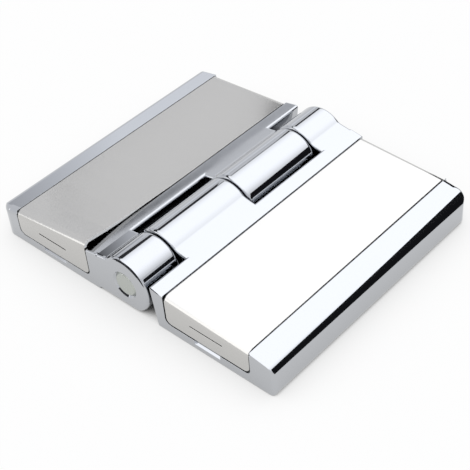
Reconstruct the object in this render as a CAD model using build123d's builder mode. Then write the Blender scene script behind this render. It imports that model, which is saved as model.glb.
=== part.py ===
"""Heavy-duty door hinge: two die-cast leaves on one pin, each leaf closed by a clip-on sheet cover.

X runs across the leaves, Y along the pin and Z up from the mounting plane. The frame leaf is on -X and the
door leaf on +X. Both leaves come from one casting, turned half a turn about Z. Sizes are in millimetres.
"""
import os

from build123d import *

os.makedirs("parts", exist_ok=True)

# Leaf casting, measured outwards from the pin axis
leaf_length = 90.0
leaf_reach = 55.5
side_draft = 0.2
floor_thickness = 4.5
inner_rail_width = 5.15
inner_rail_height = 14.2
inner_rail_fall = 0.9
outer_rail_width = 8.6
outer_rail_height = 11.7
outer_rail_fall = 1.4
outer_edge_radius = 3.2
foot_radius = 2.2
end_edge_radius = 0.5
round_corner_radius = 4.8
crown_radius = 2.2
plain_corner_radius = 1.8

# Knuckles and the pockets that the other leaf's knuckles turn in
pin_height = 8.5
barrel_radius = 9.2
knuckle_relief = 0.3
knuckle_gap = 0.6
short_knuckle = 14.5
valley_radius = 2.2
barrel_foot_radius = 4.0
pocket_clearance = 1.1
pocket_draft = 1.7
pocket_edge_radius = 0.8
knuckle_edge_radius = 1.1

# Pin and flanged bushes
pin_diameter = 8.0
pin_chamfer = 0.5
pin_recess = 0.15
press_interference = 0.01
running_clearance = 0.05
bush_wall = 1.0
bush_length = 12.0
flange_width = 1.5
axial_clearance = 0.1
bore_end_wall = 3.0
bore_chamfer = 0.6

# Clip-on covers
sheet_thickness = 1.0
sheet_bend_radius = 2.2
cover_gap = 0.35
cover_proud = 0.03
cover_seat_gap = 0.05
cover_corner_radius = 2.0
sheet_edge_radius = 0.35
ledge_width = 1.5
frame_cover_lift = 2.6
frame_cover_lift_run = 45.0
lift_steps = 5

# Catch and pry notch at each end of a leaf
lip_height = 3.1
notch_width = 9.5
notch_depth = 1.3
slit_length = 12.0
slit_height = 0.45
slit_level = 7.9
barb_reach = 0.9
barb_drop = 2.4
catch_width = 14.0
catch_wall = 1.6
catch_nose = 1.2
catch_lead = 0.8
catch_clearance = 0.15

# Countersunk screw holes in the leaf floor
screw_hole_diameter = 6.4
screw_head_diameter = 12.2
screw_spacing_across = 15.0
screw_spacing_along = 60.0

# Cored pockets in the underside
core_wall = 3.0
core_rib = 4.0
core_count = 3
core_corner_radius = 1.5

# Sizes that follow from those above
half_length = leaf_length / 2
pin_radius = pin_diameter / 2
pocket_wall_top = barrel_radius + pocket_clearance
pocket_wall_foot = pocket_wall_top + pocket_draft
inner_rail_end = pocket_wall_top + inner_rail_width
outer_rail_start = leaf_reach - outer_rail_width
cover_inner = inner_rail_end + cover_gap
cover_outer = outer_rail_start - cover_gap
cover_middle = (cover_inner + cover_outer) / 2
cover_inner_level = inner_rail_height - inner_rail_fall + cover_proud
cover_outer_level = outer_rail_height + cover_proud
cover_slope = (cover_outer_level - cover_inner_level) / (cover_outer - cover_inner)
inner_rail_slope = -inner_rail_fall / inner_rail_width
outer_rail_slope = -outer_rail_fall / (outer_rail_width - side_draft)
corner_reach = leaf_reach - round_corner_radius
corner_start = half_length - round_corner_radius
corner_level = outer_rail_height + outer_rail_slope * (corner_reach - outer_rail_start)
headroom = barrel_radius + pin_height
rail_rise = inner_rail_height - inner_rail_slope * pocket_wall_top - pin_height
chord_middle = -inner_rail_slope * rail_rise / (1 + inner_rail_slope**2)
bush_radius = pin_radius + running_clearance + bush_wall
flange_radius = bush_radius + flange_width
flange_thickness = knuckle_gap - axial_clearance
short_bush_length = short_knuckle - knuckle_gap / 2 - bore_end_wall
end_recess = sheet_bend_radius + cover_gap
cover_depth = sheet_thickness + cover_seat_gap
channel_width = cover_outer - cover_inner - 2 * ledge_width
core_length = (leaf_length - 2 * core_wall - (core_count - 1) * core_rib) / core_count
core_width = leaf_reach - cover_outer + ledge_width - 2 * core_wall
core_middle = leaf_reach - core_wall - core_width / 2
core_depth = outer_rail_height - outer_rail_fall - core_wall
barb_top = slit_level - slit_height / 2
inner_face = half_length - sheet_thickness
catch_front = inner_face - barb_reach - catch_clearance
nose_front = inner_face - catch_clearance
nose_foot = barb_top + catch_clearance
catch_root = floor_thickness / 2
catch_outline = (
    (catch_front - catch_wall, catch_root),
    (catch_front - catch_wall, nose_foot + catch_nose),
    (catch_front, nose_foot + catch_nose),
    (nose_front, nose_foot + catch_nose - catch_lead),
    (nose_front, nose_foot),
    (catch_front, nose_foot),
    (catch_front, catch_root),
)
knuckle_split = half_length - short_knuckle
own_knuckles = (
    (knuckle_split + knuckle_gap / 2, half_length),
    (knuckle_gap / 2 - knuckle_split, -knuckle_gap / 2),
)

FRAME_SIDE = -1
DOOR_SIDE = 1
ENDS = (-1, 1)


def across(side, y):
    """Plane across a leaf at the distance y along the pin, facing the leaf's start."""
    return Plane(origin=(0, side * y, 0), x_dir=(side, 0, 0), z_dir=(0, -side, 0))


def along(side, u):
    """Plane along a leaf at the distance u from the pin axis, facing away from the pin."""
    return Plane(origin=(side * u, 0, 0), x_dir=(0, side, 0), z_dir=(side, 0, 0))


def level(side, z):
    """Plane of a leaf at height z, facing up."""
    return Plane(origin=(0, 0, z), x_dir=(side, 0, 0), z_dir=(0, 0, 1))


def cover_level(u):
    """Height of a seated cover's upper face at the distance u from the pin axis."""
    return cover_inner_level + cover_slope * (u - cover_inner)


def inner_rail_level(u):
    """Height of the inner rail's sloping top, carried on towards the barrel."""
    return inner_rail_height + inner_rail_slope * (u - pocket_wall_top)


def on_knuckle_rim(edge):
    """Whether an edge of a knuckle's end face runs round the barrel or along the sloping top."""
    return edge.geom_type == GeomType.CIRCLE or edge.center().Z > inner_rail_level(pocket_wall_foot)


def on_rail_top(edge):
    """Whether an edge of a leaf's end face runs along the top of a rail."""
    reach = abs(edge.center().X)
    on_rail = reach < inner_rail_end or reach > outer_rail_start
    return on_rail and edge.center().Z > outer_rail_height - outer_rail_fall


def pin_axis(side, y):
    """Plane on the pin axis at the distance y along the pin, facing the leaf's start."""
    return Plane(origin=(0, side * y, pin_height), x_dir=(side, 0, 0), z_dir=(0, -side, 0))


def knuckle(side, start, end):
    """One knuckle: a barrel run into the inner rail, flat underneath, with soft edges at both ends."""
    with BuildPart() as barrel:
        with BuildSketch(across(side, end)) as outline:
            with Locations((0, pin_height)):
                Circle(barrel_radius)
            with BuildLine():
                Polyline(
                    (0, knuckle_relief),
                    (pocket_wall_foot, knuckle_relief),
                    (pocket_wall_foot, inner_rail_level(pocket_wall_foot)),
                    (chord_middle, inner_rail_level(chord_middle)),
                    close=True,
                )
            make_face()
            with Locations((0, knuckle_relief)):
                Rectangle(2 * headroom, headroom, align=(Align.CENTER, Align.MAX), mode=Mode.SUBTRACT)
            fillet(outline.vertices().sort_by(Axis.Y)[-1], valley_radius)
            fillet(outline.vertices().sort_by(Axis.X)[0], barrel_foot_radius)
        extrude(amount=end - start)
        for index in (0, -1):
            face = barrel.faces().sort_by(Axis.Y)[index]
            fillet(face.edges().filter_by(on_knuckle_rim), knuckle_edge_radius)
    return barrel.part


def beyond_crown(start):
    """Sketch in the plane at hand of what lies outside the round corner's crown, from its middle at start."""
    crown = (start + round_corner_radius - crown_radius, corner_level - crown_radius)
    with BuildSketch() as outside:
        with Locations(crown):
            Rectangle(2 * crown_radius, headroom, align=(Align.MIN, Align.MIN))
            Circle(crown_radius, mode=Mode.SUBTRACT)
    return outside.sketch


def corner_cut(side):
    """What a leaf's round outer corner takes off the end of the outer rail's top edge."""
    with BuildPart() as cut:
        with BuildSketch(across(side, corner_start)):
            add(beyond_crown(corner_reach))
        revolve(axis=Axis((side * corner_reach, side * corner_start, 0), (0, 0, 1)), revolution_arc=90)
        with BuildSketch(along(side, corner_reach)):
            add(beyond_crown(corner_start))
        extrude(amount=corner_reach - outer_rail_start, dir=(-side, 0, -outer_rail_slope))
    return cut.part


def leaf(side, bore_radius, mouth_radius):
    """One leaf casting: floor, two rails, knuckles, cover seat, catches, screw holes and bores."""
    knuckles = [knuckle(side, start, end) for start, end in own_knuckles]
    with BuildPart() as casting:
        # Section of the leaf: two rails, with the cover's seat and the open channel between them
        with BuildSketch(across(side, half_length)) as section:
            with BuildLine():
                Polyline(
                    (pocket_wall_foot, 0),
                    (leaf_reach, 0),
                    (leaf_reach - side_draft, outer_rail_height - outer_rail_fall),
                    (outer_rail_start, outer_rail_height),
                    (inner_rail_end, inner_rail_level(inner_rail_end)),
                    (pocket_wall_top, inner_rail_height),
                    close=True,
                )
            make_face()
            with BuildLine():
                Polyline(
                    (inner_rail_end, cover_level(inner_rail_end) - cover_depth),
                    (outer_rail_start, cover_level(outer_rail_start) - cover_depth),
                    (outer_rail_start, headroom),
                    (inner_rail_end, headroom),
                    close=True,
                )
            make_face(mode=Mode.SUBTRACT)
            with Locations((cover_middle, floor_thickness)):
                Rectangle(channel_width, headroom, align=(Align.CENTER, Align.MIN), mode=Mode.SUBTRACT)
            fillet(section.vertices().sort_by(Axis.X)[-2], outer_edge_radius)
            fillet(section.vertices().sort_by(Axis.X)[-1], foot_radius)
            fillet(section.vertices().sort_by(Axis.X)[0], pocket_edge_radius)
        extrude(amount=leaf_length)

        # Soft edges at both ends
        rims = casting.faces().filter_by(Axis.Y).edges().filter_by(on_rail_top)
        fillet(rims, end_edge_radius)

        # Outer corners: a plain one, and a round one at the short knuckle's end with a soft crown
        with BuildSketch(level(side, 0)) as plan:
            Rectangle(2 * leaf_reach, leaf_length)
            fillet(plan.vertices().sort_by_distance((leaf_reach, -half_length))[0], plain_corner_radius)
            fillet(plan.vertices().sort_by_distance((leaf_reach, half_length))[0], round_corner_radius)
        extrude(amount=headroom, mode=Mode.INTERSECT)
        add(corner_cut(side), mode=Mode.SUBTRACT)

        # Knuckles, cast on to the inner rail
        add(knuckles)

        for end in ENDS:
            # Step at the leaf's end for the cover's end wall, with a sloping pry notch in the lip below
            with BuildSketch(across(side, end * half_length)) as step:
                with Locations((cover_middle, lip_height)):
                    Rectangle(outer_rail_start - inner_rail_end, headroom, align=(Align.CENTER, Align.MIN))
                fillet(step.vertices().group_by(Axis.Y)[0], cover_corner_radius)
            extrude(amount=end * end_recess, mode=Mode.SUBTRACT)
            with BuildSketch(along(side, cover_middle)):
                with BuildLine():
                    Polyline(
                        (end * half_length, lip_height - notch_depth),
                        (end * half_length, lip_height + notch_depth),
                        (end * (half_length - end_recess), lip_height + notch_depth),
                        (end * (half_length - end_recess), lip_height),
                        close=True,
                    )
                make_face()
            extrude(amount=notch_width / 2, both=True, mode=Mode.SUBTRACT)

            # Catch behind the cover's barb
            with BuildSketch(along(side, cover_middle)):
                with BuildLine():
                    Polyline(*[(end * y, z) for y, z in catch_outline], close=True)
                make_face()
            extrude(amount=catch_width / 2, both=True)

        # Countersunk screw holes in the floor
        with Locations(level(side, floor_thickness)):
            with Locations((cover_middle, 0)):
                with GridLocations(screw_spacing_across, screw_spacing_along, 2, 2):
                    CounterSinkHole(screw_hole_diameter / 2, screw_head_diameter / 2)

        # Cored pockets under the outer rail
        with BuildSketch(level(side, 0)):
            with Locations((core_middle, 0)):
                with GridLocations(0, core_length + core_rib, 1, core_count):
                    RectangleRounded(core_width, core_length, core_corner_radius)
        extrude(amount=core_depth, mode=Mode.SUBTRACT)

        # Bore through both knuckles, with a short mouth at the outer end that the pin's end shows in
        with BuildSketch(pin_axis(side, half_length - bore_end_wall)):
            Circle(bore_radius)
        extrude(amount=leaf_length, mode=Mode.SUBTRACT)
        with BuildSketch(pin_axis(side, half_length)):
            Circle(mouth_radius)
        extrude(amount=leaf_length, mode=Mode.SUBTRACT)
        with BuildSketch(pin_axis(side, half_length)):
            Circle(mouth_radius + bore_chamfer)
        extrude(amount=bore_chamfer, taper=45, mode=Mode.SUBTRACT)
    return casting


def inside_fold(edge):
    """Whether an edge runs across a cover on the inside of a fold."""
    centre = edge.center()
    by_wall = abs(abs(centre.Y) - inner_face) < cover_gap
    return by_wall and centre.Z > slit_level + slit_height and edge.length > channel_width


def faces_up(face):
    """Whether a face of a cover looks up."""
    return face.normal_at().Z > 0.5


def on_sheet_side(edge):
    """Whether an edge runs along one of a cover's long sides."""
    reach = abs(edge.center().X)
    beside_rail = min(abs(reach - cover_inner), abs(reach - cover_outer)) < sheet_edge_radius
    return beside_rail and edge.length > sheet_bend_radius


def cover(side, lift):
    """One folded sheet cover; lift raises its inner corner at the leaf's far end off its seat."""
    with BuildPart() as sheet:
        # Upper face, with the raised corner easing down along the lift run
        shares = [step / lift_steps for step in range(lift_steps + 1)] if lift else [0]
        rises = [(half_length - frame_cover_lift_run * share, lift * (1 - share) ** 2) for share in shares]
        for y, rise in [*rises, (-half_length, 0)]:
            with BuildSketch(across(side, y)):
                with BuildLine():
                    Polyline(
                        (cover_inner, cover_inner_level + rise),
                        (cover_outer, cover_outer_level),
                        (cover_outer, cover_outer_level - sheet_thickness),
                        (cover_inner, cover_inner_level + rise - sheet_thickness),
                        close=True,
                    )
                make_face()
        loft(ruled=True)

        for end in ENDS:
            # End wall, rounded at its two lower corners
            with BuildSketch(across(side, end * half_length)) as wall:
                with BuildLine():
                    Polyline(
                        (cover_inner, lip_height + cover_gap),
                        (cover_outer, lip_height + cover_gap),
                        (cover_outer, cover_outer_level - sheet_thickness / 2),
                        (cover_inner, cover_inner_level + (lift if end > 0 else 0) - sheet_thickness / 2),
                        close=True,
                    )
                make_face()
                fillet(wall.vertices().group_by(Axis.Y)[0], cover_corner_radius)
            extrude(amount=end * sheet_thickness)

        for end in ENDS:
            # Barb pressed inwards below a slit in the end wall
            with BuildSketch(along(side, cover_middle)):
                with BuildLine():
                    Polyline(
                        (end * inner_face, barb_top),
                        (end * (inner_face - barb_reach), barb_top),
                        (end * inner_face, barb_top - barb_drop),
                        close=True,
                    )
                make_face()
            extrude(amount=slit_length / 2, both=True)
            with BuildSketch(across(side, end * half_length)):
                with Locations((cover_middle, slit_level)):
                    Rectangle(slit_length, slit_height)
            extrude(amount=end * sheet_thickness, mode=Mode.SUBTRACT)

        # Folded edges between the upper face and the end walls
        folds = [sheet.faces().sort_by(Axis.Y)[index].edges().sort_by(Axis.Z)[-1] for index in (0, -1)]
        fillet(folds, sheet_bend_radius)
        fillet(sheet.edges().filter_by(inside_fold), sheet_bend_radius - sheet_thickness)

        # Broken edges along both sides of the upper face, where it lies flat
        if not lift:
            fillet(sheet.faces().filter_by(faces_up).edges().filter_by(on_sheet_side), sheet_edge_radius)
    return sheet


def bush(seat, direction, length):
    """One flanged bush in a door-leaf knuckle; seat is the knuckle's end and direction points into it."""
    with BuildPart() as sleeve:
        with BuildSketch(Plane(origin=(0, seat, pin_height), z_dir=(0, direction, 0))):
            Circle(bush_radius)
        extrude(amount=length)
        with BuildSketch(Plane(origin=(0, seat, pin_height), z_dir=(0, -direction, 0))):
            Circle(flange_radius)
        extrude(amount=flange_thickness)
        with BuildSketch(Plane(origin=(0, seat, pin_height), z_dir=(0, direction, 0))):
            Circle(pin_radius + running_clearance)
        extrude(amount=leaf_length, both=True, mode=Mode.SUBTRACT)
    return sleeve


def keep(piece, name):
    """Label a finished piece and write it."""
    piece.part.label = name
    export_step(piece.part, f"parts/{name}.step")


frame_leaf = leaf(FRAME_SIDE, pin_radius - press_interference, pin_radius - press_interference)
keep(frame_leaf, "frame_leaf")

door_leaf = leaf(DOOR_SIDE, bush_radius - press_interference, pin_radius + running_clearance)
keep(door_leaf, "door_leaf")

frame_cover = cover(FRAME_SIDE, frame_cover_lift)
keep(frame_cover, "frame_cover")

door_cover = cover(DOOR_SIDE, 0)
keep(door_cover, "door_cover")

with BuildPart() as hinge_pin:
    with BuildSketch(pin_axis(DOOR_SIDE, half_length - pin_recess)):
        Circle(pin_radius)
    extrude(amount=leaf_length - 2 * pin_recess)
    chamfer(hinge_pin.edges().filter_by(GeomType.CIRCLE), pin_chamfer)
keep(hinge_pin, "hinge_pin")

(short_start, short_end), (long_start, long_end) = own_knuckles
for name, seat, direction, length in (
    ("bush_long_near", long_start, 1, bush_length),
    ("bush_long_far", long_end, -1, bush_length),
    ("bush_short", short_start, 1, short_bush_length),
):
    keep(bush(seat, direction, length), name)
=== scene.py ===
"""Looks of the heavy-duty door hinge: chrome castings, satin sheet covers and the studio around them.

All lengths are in metres, in the row frame: X across the leaves, Y along the pin and Z up from
the mounting plane.
"""

import math

import bpy
from mathutils import Matrix, Vector

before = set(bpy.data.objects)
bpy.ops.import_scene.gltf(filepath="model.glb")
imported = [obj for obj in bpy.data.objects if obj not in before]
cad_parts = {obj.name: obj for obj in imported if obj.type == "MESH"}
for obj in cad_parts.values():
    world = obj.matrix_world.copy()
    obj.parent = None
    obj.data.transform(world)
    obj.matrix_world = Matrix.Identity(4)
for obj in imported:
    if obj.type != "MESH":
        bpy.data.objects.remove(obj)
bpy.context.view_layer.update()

# Camera, at the photograph's angle
CAMERA_PLACE = Vector((0.1924, -0.1881, 0.2343))
CAMERA_AZIMUTH = math.radians(45.6)
CAMERA_ELEVATION = math.radians(41.61)
CAMERA_ROLL = math.radians(-5.62)
CAMERA_LENS = 88.92
CAMERA_SENSOR = 36.0
CAMERA_CLIP_START = 0.01

# Finishes: linear colours, ranges of roughness, and noise by its cycles per metre along X, Y and Z
CHROME_COLOUR = (0.475, 0.487, 0.507, 1)
CHROME_ROUGHNESS = (0.03, 0.075)
CHROME_CLOUDS = (400, 400, 400)
CHROME_WAVES = (70, 40, 70)
CHROME_WAVE_DEPTH = 0.00003
SHEET_COLOUR = (0.552, 0.545, 0.53, 1)
SHEET_ROUGHNESS = (0.13, 0.21)
SHEET_STREAKS = (3000, 30, 3000)
SHEET_GRAIN = (5200, 45, 5200)
SHEET_GRAIN_DEPTH = 0.0000015
BAR_COLOUR = (0.47, 0.49, 0.46, 1)
BAR_ROUGHNESS = (0.24, 0.36)
BAR_CLOUDS = (900, 900, 900)
BAR_RINGS = 900.0
BAR_RING_WANDER = 0.6
BAR_RING_DEPTH = 0.000004
BAR_AXIS_HEIGHT = 0.0085
BUSH_COLOUR = (0.012, 0.012, 0.013, 1)
BUSH_ROUGHNESS = 0.45
BUSH_GRAIN = (1800, 1800, 1800)
BUSH_GRAIN_DEPTH = 0.00001
EDGE_RADIUS = 0.00015
BAR_EDGE_RADIUS = 0.0002
EDGE_SAMPLES = 6

# Floor and surround; the floor's glow carries a painted shadow, its brightness set by how open each spot lies
# to the sky
FLOOR_SIZE = 6.0
FLOOR_DROP = 0.0001
FLOOR_COLOUR = (0.85, 0.85, 0.85, 1)
FLOOR_GLOW = 0.95
FLOOR_PAINTED_SHADOW_REACH = 0.03
FLOOR_PAINTED_SHADOW_SAMPLES = 12
FLOOR_PAINTED_SHADOW_STOPS = ((0.10, 0.0), (0.45, 0.82), (0.90, 1.0))
SURROUND_COLOUR = (0.94, 0.95, 0.98, 1)

# Light panel overhead, dimmer towards its left and right edges, and a light card in front
PANEL_HEIGHT = 0.30
PANEL_LEFT = -0.285
PANEL_RIGHT = 0.45
PANEL_NEAR = -0.45
PANEL_FAR = 0.60
PANEL_COLOUR = (0.965, 0.975, 1.0, 1)
PANEL_GLOW = 2.06
PANEL_LEFT_GLOW = 1.61
PANEL_LEFT_FADE = 0.20
PANEL_RIGHT_GLOW = 1.24
PANEL_RIGHT_FADE = 0.35
FRONT_Y = -0.50
FRONT_LEFT = -0.60
FRONT_RIGHT = 0.10
FRONT_LOW = 0.04
FRONT_HIGH = 0.34
FRONT_COLOUR = (1, 1, 1, 1)
FRONT_GLOW = 1.84

# Dark flag round the right edge, for the black bands on it and on the knuckles' right flanks
FLAG_COLOUR = (0.012, 0.012, 0.014, 1)
FLAG_HEIGHT = 0.053
FLAG_FOOT = ((0.1046, -0.0297), (0.0911, 0.0), (0.050, 0.090), (0.014, 0.110))

# Dark strip and graded grey shade over the left leaf, by their (x, y) plans
DARK_COLOUR = (0.05, 0.05, 0.055, 1)
STRIP_HEIGHT = 0.10
STRIP_PLAN = (
    (-0.090, -0.10), (-0.090, 0.20), (-0.124, 0.20), (-0.118, 0.135),
    (-0.098, 0.115), (-0.098, 0.05), (-0.105, 0.03), (-0.105, -0.10),
)
SHADE_COLOUR = (0.93, 0.95, 1.0, 1)
SHADE_PLAN = (
    (-0.182, 0.046), (-0.177, 0.10), (-0.177, 0.22), (-0.187, 0.22), (-0.187, 0.10), (-0.186, 0.046),
)
SHADE_GRADE = ((0.06, 0.20), (0.15, 0.68))

# Graded cards on the left, by their (y, z) limits: a far one for the outer rail, and a near one hovering
# just over the inner rail, whose dark end is painted shade on that rail's near end
LEFT_X = -0.35
LEFT_LIMITS = ((0.0, 0.115), (0.40, 0.165))
LEFT_GRADE = ((0.09, 0.65), (0.19, 1.25))
RAIL_X = -0.0165
RAIL_LIMITS = ((-0.046, 0.0172), (-0.026, 0.0200))
RAIL_GRADE = ((-0.043, 0.10), (-0.028, 0.80))

# Small dark cards just off the near knuckles, seen only in reflections: painted shade on the near
# one's rim and in its bore by (x, z), and for the dark line on the left of both by (y, z)
RIM_Y = -0.05
RIM_OUTLINE = (
    (-0.014, 0.0155), (0.003, 0.0155), (0.010, 0.0110), (0.0118, 0.0110),
    (0.0118, 0.0150), (0.0095, 0.0190), (0.005, 0.0226), (-0.014, 0.0226),
)
BORE_Y = -0.06
BORE_LIMITS = ((-0.018, 0.0095), (0.004, 0.0165))
VALLEY_X = -0.017
VALLEY_OUTLINE = (
    (-0.040, 0.0235), (-0.022, 0.0275), (0.009, 0.0275), (0.009, 0.0335), (-0.040, 0.0335),
)


def add_node(tree, kind, values=None, **settings):
    """One shader node, with its settings and the values of its inputs."""
    node = tree.nodes.new(kind)
    for name, value in settings.items():
        setattr(node, name, value)
    for name, value in (values or {}).items():
        node.inputs[name].default_value = value
    return node


def new_material(name):
    """An empty node material and the socket that takes its surface."""
    material = bpy.data.materials.new(name)
    material.use_nodes = True
    tree = material.node_tree
    tree.nodes.clear()
    output = add_node(tree, "ShaderNodeOutputMaterial")
    return material, tree, output.inputs["Surface"]


def stretched_noise(tree, cycles, detail):
    """Noise on the object's own coordinates, with its cycles per metre along each axis."""
    place = add_node(tree, "ShaderNodeTexCoord")
    stretch = add_node(tree, "ShaderNodeMapping", {"Scale": cycles})
    noise = add_node(tree, "ShaderNodeTexNoise", {"Scale": 1.0, "Detail": detail, "Roughness": 0.5})
    tree.links.new(place.outputs["Object"], stretch.inputs["Vector"])
    tree.links.new(stretch.outputs["Vector"], noise.inputs["Vector"])
    return noise.outputs["Fac"]


def spread(tree, value, low, high):
    """A value from 0 to 1 mapped on to a range."""
    node = add_node(tree, "ShaderNodeMapRange", {"To Min": low, "To Max": high})
    tree.links.new(value, node.inputs["Value"])
    return node.outputs["Result"]


def graded(tree, axis, start, end, interpolation="LINEAR"):
    """A value that runs along one axis between two pairs of place and value."""
    place = add_node(tree, "ShaderNodeTexCoord")
    axes = add_node(tree, "ShaderNodeSeparateXYZ")
    grade = add_node(
        tree, "ShaderNodeMapRange",
        {"From Min": start[0], "From Max": end[0], "To Min": start[1], "To Max": end[1]},
        interpolation_type=interpolation,
    )
    tree.links.new(place.outputs["Object"], axes.inputs["Vector"])
    tree.links.new(axes.outputs[axis], grade.inputs["Value"])
    return grade.outputs["Result"]


def soft_edges(tree, radius):
    """Normals that round off the sharp edges of a solid."""
    return add_node(tree, "ShaderNodeBevel", {"Radius": radius}, samples=EDGE_SAMPLES).outputs["Normal"]


def bump(tree, height, depth, normal=None):
    """Normals tilted by a height from 0 to 1, whose full depth is in metres."""
    node = add_node(tree, "ShaderNodeBump", {"Strength": 1.0, "Distance": depth})
    tree.links.new(height, node.inputs["Height"])
    if normal is not None:
        tree.links.new(normal, node.inputs["Normal"])
    return node.outputs["Normal"]


def solid_material(name, values):
    """A material with one shader, its node tree and the shader's inputs."""
    material, tree, surface = new_material(name)
    shader = add_node(tree, "ShaderNodeBsdfPrincipled", values)
    tree.links.new(shader.outputs["BSDF"], surface)
    return material, tree, shader.inputs


def chrome():
    """Chrome plate on a polished casting: a clean mirror with a faint waviness."""
    material, tree, inputs = solid_material("chrome_plate", {"Base Color": CHROME_COLOUR, "Metallic": 1.0})
    clouds = stretched_noise(tree, CHROME_CLOUDS, 4.0)
    waves = stretched_noise(tree, CHROME_WAVES, 1.0)
    tree.links.new(spread(tree, clouds, *CHROME_ROUGHNESS), inputs["Roughness"])
    tree.links.new(bump(tree, waves, CHROME_WAVE_DEPTH, soft_edges(tree, EDGE_RADIUS)), inputs["Normal"])
    return material


def satin_sheet():
    """Satin stainless sheet with a fine grain along the hinge."""
    material, tree, inputs = solid_material("satin_sheet", {"Base Color": SHEET_COLOUR, "Metallic": 1.0})
    streaks = stretched_noise(tree, SHEET_STREAKS, 3.0)
    grain = stretched_noise(tree, SHEET_GRAIN, 2.0)
    tree.links.new(spread(tree, streaks, *SHEET_ROUGHNESS), inputs["Roughness"])
    tree.links.new(bump(tree, grain, SHEET_GRAIN_DEPTH, soft_edges(tree, EDGE_RADIUS)), inputs["Normal"])
    return material


def turned_bar():
    """Turned steel bar with fine rings about the pin axis."""
    material, tree, inputs = solid_material("turned_bar", {"Base Color": BAR_COLOUR, "Metallic": 1.0})
    clouds = stretched_noise(tree, BAR_CLOUDS, 2.0)
    place = add_node(tree, "ShaderNodeTexCoord")
    centre = add_node(
        tree, "ShaderNodeMapping", {"Location": (0, 0, -BAR_AXIS_HEIGHT), "Scale": (1, 0, 1)},
    )
    rings = add_node(
        tree, "ShaderNodeTexWave", {"Scale": BAR_RINGS, "Distortion": BAR_RING_WANDER, "Detail": 1.0},
        wave_type="RINGS", rings_direction="SPHERICAL",
    )
    tree.links.new(place.outputs["Object"], centre.inputs["Vector"])
    tree.links.new(centre.outputs["Vector"], rings.inputs["Vector"])
    tilt = bump(tree, rings.outputs["Fac"], BAR_RING_DEPTH, soft_edges(tree, BAR_EDGE_RADIUS))
    tree.links.new(spread(tree, clouds, *BAR_ROUGHNESS), inputs["Roughness"])
    tree.links.new(tilt, inputs["Normal"])
    return material


def bush_plastic():
    """Black moulded bearing plastic with a fine grain."""
    material, tree, inputs = solid_material(
        "bush_plastic", {"Base Color": BUSH_COLOUR, "Roughness": BUSH_ROUGHNESS},
    )
    grain = stretched_noise(tree, BUSH_GRAIN, 3.0)
    tree.links.new(bump(tree, grain, BUSH_GRAIN_DEPTH), inputs["Normal"])
    return material


def seen_rays(tree):
    """A value that is 1 for rays from the eye, from mirrors and through glass, and 0 for others."""
    rays = add_node(tree, "ShaderNodeLightPath")
    seen = rays.outputs["Is Camera Ray"]
    for kind in ("Is Glossy Ray", "Is Transmission Ray"):
        either = add_node(tree, "ShaderNodeMath", operation="MAXIMUM")
        tree.links.new(seen, either.inputs[0])
        tree.links.new(rays.outputs[kind], either.inputs[1])
        seen = either.outputs["Value"]
    return seen


def floor_material():
    """White floor that glows for the eye and for mirrors, with the hinge's soft shadow painted into its glow
    by ambient occlusion.
    """
    material, tree, surface = new_material("studio_floor")
    open_sky = add_node(
        tree, "ShaderNodeAmbientOcclusion", {"Distance": FLOOR_PAINTED_SHADOW_REACH}, samples=FLOOR_PAINTED_SHADOW_SAMPLES,
    )
    painted_shadow = add_node(tree, "ShaderNodeValToRGB")
    stops = painted_shadow.color_ramp.elements
    while len(stops) < len(FLOOR_PAINTED_SHADOW_STOPS):
        stops.new(0.5)
    for stop, (place, value) in zip(stops, FLOOR_PAINTED_SHADOW_STOPS):
        stop.position = place
        stop.color = (value, value, value, 1)
    matt = add_node(tree, "ShaderNodeBsdfDiffuse", {"Color": FLOOR_COLOUR})
    glow = add_node(tree, "ShaderNodeEmission", {"Strength": 1.0})
    mix = add_node(tree, "ShaderNodeMixShader")
    # Painted shadow: the glow's colour darkens where ambient occlusion finds the hinge close by
    tree.links.new(open_sky.outputs["AO"], painted_shadow.inputs["Fac"])
    tree.links.new(painted_shadow.outputs["Color"], glow.inputs["Color"])
    tree.links.new(spread(tree, seen_rays(tree), 0.0, FLOOR_GLOW), mix.inputs["Fac"])
    tree.links.new(matt.outputs["BSDF"], mix.inputs[1])
    tree.links.new(glow.outputs["Emission"], mix.inputs[2])
    tree.links.new(mix.outputs["Shader"], surface)
    return material


def glow_material(name, colour, strength=1.0):
    """A card that shines with one colour and strength."""
    material, tree, surface = new_material(name)
    glow = add_node(tree, "ShaderNodeEmission", {"Color": colour, "Strength": strength})
    tree.links.new(glow.outputs["Emission"], surface)
    return material


def panel_material():
    """The light panel: brightest in the middle, fading towards its left and right edges."""
    material, tree, surface = new_material("light_panel")
    glow = add_node(tree, "ShaderNodeEmission", {"Color": PANEL_COLOUR})
    least = add_node(tree, "ShaderNodeMath", operation="MINIMUM")
    edges = (
        (PANEL_LEFT, PANEL_LEFT + PANEL_LEFT_FADE, PANEL_LEFT_GLOW),
        (PANEL_RIGHT, PANEL_RIGHT - PANEL_RIGHT_FADE, PANEL_RIGHT_GLOW),
    )
    for socket, (edge, inside, edge_glow) in zip(least.inputs, edges):
        fade = graded(tree, "X", (edge, edge_glow), (inside, PANEL_GLOW), "SMOOTHSTEP")
        tree.links.new(fade, socket)
    tree.links.new(least.outputs["Value"], glow.inputs["Strength"])
    tree.links.new(glow.outputs["Emission"], surface)
    return material


def graded_material(name, grade):
    """A bluish card whose glow runs along Y between the grade's two pairs of place and strength."""
    material, tree, surface = new_material(name)
    glow = add_node(tree, "ShaderNodeEmission", {"Color": SHADE_COLOUR})
    tree.links.new(graded(tree, "Y", *grade), glow.inputs["Strength"])
    tree.links.new(glow.outputs["Emission"], surface)
    return material


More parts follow.
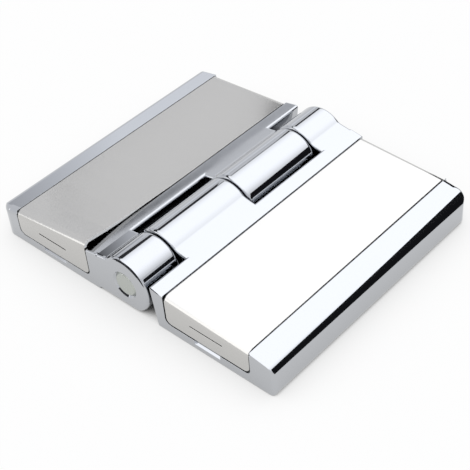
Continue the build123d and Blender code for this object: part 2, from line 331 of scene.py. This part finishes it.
def sheet_object(name, corners, material):
    """A flat staging object through the given corners."""
    mesh = bpy.data.meshes.new(name)
    mesh.from_pydata([Vector(corner) for corner in corners], [], [range(len(corners))])
    mesh.materials.append(material)
    sheet = bpy.data.objects.new(name, mesh)
    bpy.context.scene.collection.objects.link(sheet)
    return sheet


def mirror_card(name, corners, material):
    """A staging card that only reflections show."""
    card = sheet_object(name, corners, material)
    card.visible_camera = False
    card.visible_diffuse = False
    card.visible_transmission = False
    card.visible_shadow = False


def rectangle(low, high):
    """The four corners between two opposite ones."""
    return [low, (high[0], low[1]), high, (low[0], high[1])]


def on_x(x, outline):
    """An outline of (y, z) points in the plane at x."""
    return [(x, y, z) for y, z in outline]


def on_y(y, outline):
    """An outline of (x, z) points in the plane at y."""
    return [(x, y, z) for x, z in outline]


def on_z(z, outline):
    """An outline of (x, y) points in the plane at z."""
    return [(x, y, z) for x, y in outline]


def make_studio():
    """White floor with a painted shadow, even surround, light panels overhead and in front, and dark cards
    round the hinge, the nearest of them painted shade seen only in reflections.
    """
    half = FLOOR_SIZE / 2
    sheet_object("studio_floor", on_z(-FLOOR_DROP, rectangle((-half, -half), (half, half))), floor_material())

    panel = rectangle((PANEL_LEFT, PANEL_NEAR), (PANEL_RIGHT, PANEL_FAR))
    front = rectangle((FRONT_LEFT, FRONT_LOW), (FRONT_RIGHT, FRONT_HIGH))
    mirror_card("light_panel", on_z(PANEL_HEIGHT, panel), panel_material())
    mirror_card("front_card", on_y(FRONT_Y, front), glow_material("front_card", FRONT_COLOUR, FRONT_GLOW))

    flag = on_z(0.0, FLAG_FOOT) + on_z(FLAG_HEIGHT, reversed(FLAG_FOOT))
    mirror_card("dark_flag", flag, glow_material("dark_flag", FLAG_COLOUR))

    dark = glow_material("dark_card", DARK_COLOUR)
    mirror_card("dark_strip", on_z(STRIP_HEIGHT, STRIP_PLAN), dark)
    # Painted shade: dark cards just off the near knuckles, seen only in reflections
    mirror_card("rim_painted_shade", on_y(RIM_Y, RIM_OUTLINE), dark)
    mirror_card("bore_painted_shade", on_y(BORE_Y, rectangle(*BORE_LIMITS)), dark)
    mirror_card("valley_painted_shade", on_x(VALLEY_X, VALLEY_OUTLINE), dark)

    mirror_card("grey_shade", on_z(STRIP_HEIGHT, SHADE_PLAN), graded_material("grey_shade", SHADE_GRADE))
    mirror_card("left_card", on_x(LEFT_X, rectangle(*LEFT_LIMITS)), graded_material("left_card", LEFT_GRADE))
    # Painted shade on the inner rail's near end, from a card hovering just over it and seen only in
    # reflections
    mirror_card("rail_painted_shade", on_x(RAIL_X, rectangle(*RAIL_LIMITS)), graded_material("rail_painted_shade", RAIL_GRADE))

    world = bpy.data.worlds.new("studio")
    world.use_nodes = True
    background = world.node_tree.nodes["Background"]
    background.inputs["Color"].default_value = SURROUND_COLOUR
    background.inputs["Strength"].default_value = 1.0
    bpy.context.scene.world = world


def make_camera():
    """The photograph's camera."""
    turn = Vector((math.sin(CAMERA_AZIMUTH), -math.cos(CAMERA_AZIMUTH), 0))
    back = turn * math.cos(CAMERA_ELEVATION) + Vector((0, 0, math.sin(CAMERA_ELEVATION)))
    level = Vector((math.cos(CAMERA_AZIMUTH), math.sin(CAMERA_AZIMUTH), 0))
    upright = back.cross(level)
    right = level * math.cos(CAMERA_ROLL) + upright * math.sin(CAMERA_ROLL)
    up = back.cross(right)
    data = bpy.data.cameras.new("photo_camera")
    data.lens = CAMERA_LENS
    data.sensor_width = CAMERA_SENSOR
    data.clip_start = CAMERA_CLIP_START
    camera = bpy.data.objects.new("photo_camera", data)
    camera.matrix_world = Matrix.Translation(CAMERA_PLACE) @ Matrix((right, up, back)).transposed().to_4x4()
    bpy.context.scene.collection.objects.link(camera)
    bpy.context.scene.camera = camera


def dress():
    """Every CAD node takes its finish."""
    finishes = {
        ("frame_leaf", "door_leaf"): chrome(),
        ("frame_cover", "door_cover"): satin_sheet(),
        ("hinge_pin",): turned_bar(),
        ("bush_long_near", "bush_long_far", "bush_short"): bush_plastic(),
    }
    for nodes, material in finishes.items():
        for node in nodes:
            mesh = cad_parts[node].data
            mesh.materials.clear()
            mesh.materials.append(material)


dress()
make_studio()
make_camera()
bpy.context.scene.view_settings.view_transform = "Standard"
